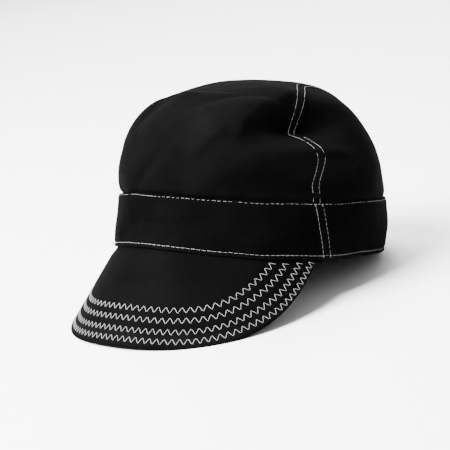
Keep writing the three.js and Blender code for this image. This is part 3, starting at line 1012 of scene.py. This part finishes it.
class CAP_OT_brim(SewingStep):
    """Shape the stiffened brim, with its root turned up inside the band"""

    bl_idname = "object.cap_brim"
    bl_label = "Brim"

    def execute(self, context):
        form = self.form
        s = form.s
        angle = np.linspace(-form.brim_end, form.brim_end, 301)[:, None]
        reach = form.brim_reach(angle)
        radius = np.minimum(s.brim_wall / 2, reach * 0.4)
        flat = reach - radius
        edge_distance = brim_edge_distance(form)
        upper = [brim_face(form, angle, flat * share, edge_distance) for share in np.linspace(0, 1, 78)]
        arc = [
            form.brim_point(angle, flat + radius * math.sin(turn), math.cos(turn))
            for turn in np.linspace(0, math.pi, 9)[1:-1]
        ]
        lower = [form.brim_point(angle, flat * share, -1.0) for share in np.linspace(1, 0, 24)]
        climbs = np.linspace(0, 1, 5)[1:] * s.tuck / form.climb_length
        place = [form.on_disc(climb, angle) for climb in climbs]
        rise_out, rise_in = ([form.off_skin(p, wall) for p in place] for wall in (s.cloth, 0.0))
        rows = rise_out[::-1] + upper + arc + lower + rise_in + [rise_out[-1]]
        points = np.concatenate(rows[::-1], 1)
        # The rows of points near the brim's edge, as a share of the whole way round its section
        rubbed_edge = 0.5 * hump(np.linspace(1, 0, len(rows)) - 0.64, 0.03)
        cloth = cotton_cloth("Brim cotton", context.scene.cap_colours.brim, sheen=0.0015)
        lay_cloth(form, "brim", "brim_cloth", points, rubbed_edge, cloth)
        return {"FINISHED"}


def row_closing(angle):
    """How much nearer to the edge the zigzag rows run towards the ends of the brim"""
    return 0.0026 * smoothstep(44, 62, np.abs(angle))


def brim_face(form, angle, distance, edge_distance):
    """The brim's upper face, pressed in a little along each zigzag row"""
    away = edge_distance(angle, distance) + row_closing(angle)
    relief = 0.00025 * rumple(form.brim_point(angle, distance, 0.0), 0.03, 21)
    for row, _ in ZIGZAG_ROWS:
        relief -= 0.0003 * np.exp(-(((away - row) / 0.0024) ** 4))
    relief *= smoothstep(0.002, 0.006, distance)
    return form.brim_point(angle, distance, 1.0) + form.brim_axes(angle)[2] * relief[..., None]


def brim_edge_distance(form):
    """A table of the distance from places on the brim to its edge, read by angle and slope distance"""
    columns, rows = 240, 89
    angles = np.linspace(-form.brim_end, form.brim_end, columns + 1)[:, None] + np.zeros(rows + 1)
    points = form.brim_point(angles, form.brim_reach(angles) * np.linspace(0, 1, rows + 1), 0.0)
    edge_angles = np.linspace(-form.brim_end, form.brim_end, 1500)
    edge = form.brim_point(edge_angles, form.brim_reach(edge_angles), 0.0)
    field = np.array([np.linalg.norm(row[:, None] - edge, axis=-1).min(1) for row in points])

    def read(angle, distance):
        angle, distance = np.broadcast_arrays(angle, distance)
        x = np.clip((angle / form.brim_end + 1) / 2 * columns, 0, columns - 0.001)
        y = np.clip(distance / form.brim_reach(angle) * rows, 0, rows - 0.001)
        i, j = x.astype(int), y.astype(int)
        u, v = x - i, y - j
        return (
            field[i, j] * (1 - u) * (1 - v) + field[i + 1, j] * u * (1 - v)
            + field[i, j + 1] * (1 - u) * v + field[i + 1, j + 1] * u * v
        )

    return read


class CAP_OT_seam_stitches(SewingStep):
    """Sew the double rows along both side seams, over the crown and down the band"""

    bl_idname = "object.cap_seam_stitches"
    bl_label = "Seam stitches"

    def execute(self, context):
        form, sewing = self.form, context.scene.cap_sewing
        shares = np.linspace(0, 1, 900)
        heights = np.linspace(0.0012, form.s.band_height - 0.0004, 200)
        rows = []
        for seed, (side, mirror) in enumerate(((1, 1), (1, -1), (-1, 1), (-1, -1))):
            on_crown = form.beside_seam(shares, side * sewing.seam_row) * [mirror, 1]
            turn = math.degrees(sewing.seam_row / form.mean_half)
            angle = form.seam_angle(heights / form.s.band_height * form.band_climb) - side * turn
            on_band = form.on_disc(heights / form.climb_length, angle * mirror)
            band_line = form.band_point(angle * mirror, heights, form.s.band_wall)[0]
            for place, line in ((on_crown, form.crown_point(on_crown)[0]), (on_band, band_line)):
                out = form.tangents(form.skin, place)[2]
                rows.append(straight_row(line, out, sewing.seam_pitch, 40 + seed))
        add_rows(form, "seam_stitches", "crown_cloth", rows, sewing.thread, STRAIGHT)
        return {"FINISHED"}


class CAP_OT_band_stitches(SewingStep):
    """Sew a row round the band near each edge"""

    bl_idname = "object.cap_band_stitches"
    bl_label = "Band stitches"

    def execute(self, context):
        form, sewing = self.form, context.scene.cap_sewing
        angle = np.linspace(0, 360, 1441)
        rows = []
        for seed, height in ((60, sewing.hem_row), (61, form.s.band_height - sewing.top_row)):
            line = form.band_point(angle, height, form.s.band_wall)[0]
            out = form.tangents(form.skin, form.on_disc(height / form.climb_length, angle))[2]
            rows.append(straight_row(line, out, sewing.band_pitch, seed))
        add_rows(form, "band_stitches", "band_cloth", rows, sewing.thread, STRAIGHT)
        return {"FINISHED"}


class CAP_OT_brim_stitches(SewingStep):
    """Sew the zigzag rows along the brim's edge"""

    bl_idname = "object.cap_brim_stitches"
    bl_label = "Brim stitches"

    def execute(self, context):
        form, sewing = self.form, context.scene.cap_sewing
        edge_distance = brim_edge_distance(form)
        angles = np.linspace(-form.brim_end, form.brim_end, 1601)
        slopes = np.linspace(0, 1, 400)[:, None] * form.brim_reach(angles)
        away = edge_distance(angles, slopes) + row_closing(angles)
        rows = []
        for row, zag in ZIGZAG_ROWS:
            columns = np.flatnonzero(away[0] > row)
            turns = angles[columns]
            distance = np.array([np.interp(-row, -away[:, k], slopes[:, k]) for k in columns])
            middle = brim_face(form, turns, distance, edge_distance)
            face = form.brim_axes(turns)[2]
            aside = unit(np.cross(np.gradient(middle, axis=0), face))
            runs = run_lengths(middle)
            count = int(runs[-1] / zag * 2)
            at = np.arange(count + 1) * runs[-1] / count
            swing = np.where(np.arange(count + 1) % 2, 0.5, -0.5)[:, None] * sewing.zigzag_height
            on_row, out, aside = (read_along(runs, table, at) for table in (middle, face, aside))
            holes = on_row + aside * swing
            hem = form.brim_axes(np.interp(at, runs, turns))[0][:, 2]
            below = holes[:, 2] < hem - 0.0004
            shown = below[1:] & below[:-1]
            rows.append((holes[:-1][shown], holes[1:][shown], out[:-1][shown]))
        add_rows(form, "brim_stitches", "brim_cloth", rows, sewing.zigzag_thread, ZIGZAG)
        return {"FINISHED"}


class CAP_OT_stage(SewingStep):
    """Set the floor, the lights and the camera"""

    bl_idname = "object.cap_stage"
    bl_label = "Stage"

    def execute(self, context):
        form, studio = self.form, context.scene.cap_studio
        deselect()
        bpy.ops.mesh.primitive_circle_add(vertices=96, radius=8, fill_type="NGON")
        floor = context.object
        floor.name = floor.data.name = "floor"
        material, w, shader = new_material("Pale floor")
        place = w.add("ShaderNodeTexCoord").outputs["Object"]
        pale = np.array(studio.floor)
        cloudy = w.span(w.noise(place, 3.0, 2.0), 0.3, 0.7)
        w.feed(shader["Base Color"], w.mix(cloudy, (*(pale * 0.985), 1), (*pale, 1)))
        shader["Roughness"].default_value = 0.7
        floor.data.materials.append(material)

        turn, climb, roll = studio.camera_turn, studio.camera_climb, studio.camera_roll
        level = math.cos(climb)
        back = np.array([level * math.sin(turn), -level * math.cos(turn), math.sin(climb)])
        right = np.array([math.cos(turn), math.sin(turn), 0])
        up = np.cross(back, right)
        c, s = math.cos(form.tilt), math.sin(form.tilt)
        tip = np.array([[1, 0, 0], [0, c, s], [0, -s, c]])
        centre = tip @ [0, 0, CAP_MIDDLE] + form.shift
        right, up, back = tip @ right, tip @ up, tip @ back
        eye = centre + back * studio.camera_distance
        rolled_right = right * math.cos(roll) + up * math.sin(roll)
        rolled_up = up * math.cos(roll) - right * math.sin(roll)
        aim = centre - rolled_right * PICTURE_MIDDLE[0] - rolled_up * PICTURE_MIDDLE[1]
        back = unit(eye - aim)
        rolled_right = unit(np.cross(rolled_up, back))
        rolled_up = np.cross(back, rolled_right)
        bpy.ops.object.camera_add()
        camera = context.object
        camera.name = "photo_camera"
        axes = np.stack([rolled_right, rolled_up, back, eye], 1)
        camera.matrix_world = Matrix([*axes.tolist(), [0, 0, 0, 1]])
        camera.data.lens, camera.data.sensor_width = studio.lens, 36
        camera.data.clip_end = 50
        context.scene.camera = camera

        level_back = unit(back * [1, 1, 0])
        level_right = np.array([-level_back[1], level_back[0], 0])
        for name, (size, ahead, aside, above) in LIGHTS.items():
            spot = level_back * ahead + level_right * aside + np.array([0, 0, above])
            bpy.ops.object.light_add(type="AREA")
            light = context.object
            light.name = name + "_light"
            light.data.energy, light.data.size = getattr(studio, name), size
            towards_cap = Vector(-unit(spot - [0, 0, 0.07])).to_track_quat("-Z", "Y")
            light.matrix_world = Matrix.Translation(Vector(spot)) @ towards_cap.to_matrix().to_4x4()
        world = bpy.data.worlds.new("Room")
        context.scene.world = world
        world.use_nodes = True
        background = world.node_tree.nodes["Background"].inputs
        background["Color"].default_value = (1, 1, 1, 1)
        background["Strength"].default_value = studio.sky
        return {"FINISHED"}


STEPS = (
    CAP_OT_crown_front,
    CAP_OT_crown_backs,
    CAP_OT_band,
    CAP_OT_brim,
    CAP_OT_seam_stitches,
    CAP_OT_band_stitches,
    CAP_OT_brim_stitches,
    CAP_OT_stage,
)
GROUPS = {"cap_sizes": CapSizes, "cap_sewing": CapSewing, "cap_colours": CapColours, "cap_studio": CapStudio}


class CAP_PT_panel(bpy.types.Panel):
    """The steps of making the cap, and its sizes"""

    bl_label = "Welding cap"
    bl_idname = "CAP_PT_panel"
    bl_space_type = "VIEW_3D"
    bl_region_type = "UI"
    bl_category = "Cap"

    def draw(self, context):
        for step in STEPS:
            self.layout.operator(step.bl_idname)
        for name, group in GROUPS.items():
            box = self.layout.box()
            for key in group.__annotations__:
                box.prop(getattr(context.scene, name), key)


def register():
    for cls in (*GROUPS.values(), *STEPS, CAP_PT_panel):
        bpy.utils.register_class(cls)
    for name, group in GROUPS.items():
        setattr(bpy.types.Scene, name, PointerProperty(type=group))


def unregister():
    for name in GROUPS:
        delattr(bpy.types.Scene, name)
    for cls in (CAP_PT_panel, *reversed(STEPS), *GROUPS.values()):
        bpy.utils.unregister_class(cls)


def main():
    register()
    for step in STEPS:
        group, name = step.bl_idname.split(".")
        getattr(getattr(bpy.ops, group), name)()


if __name__ == "__main__":
    main()
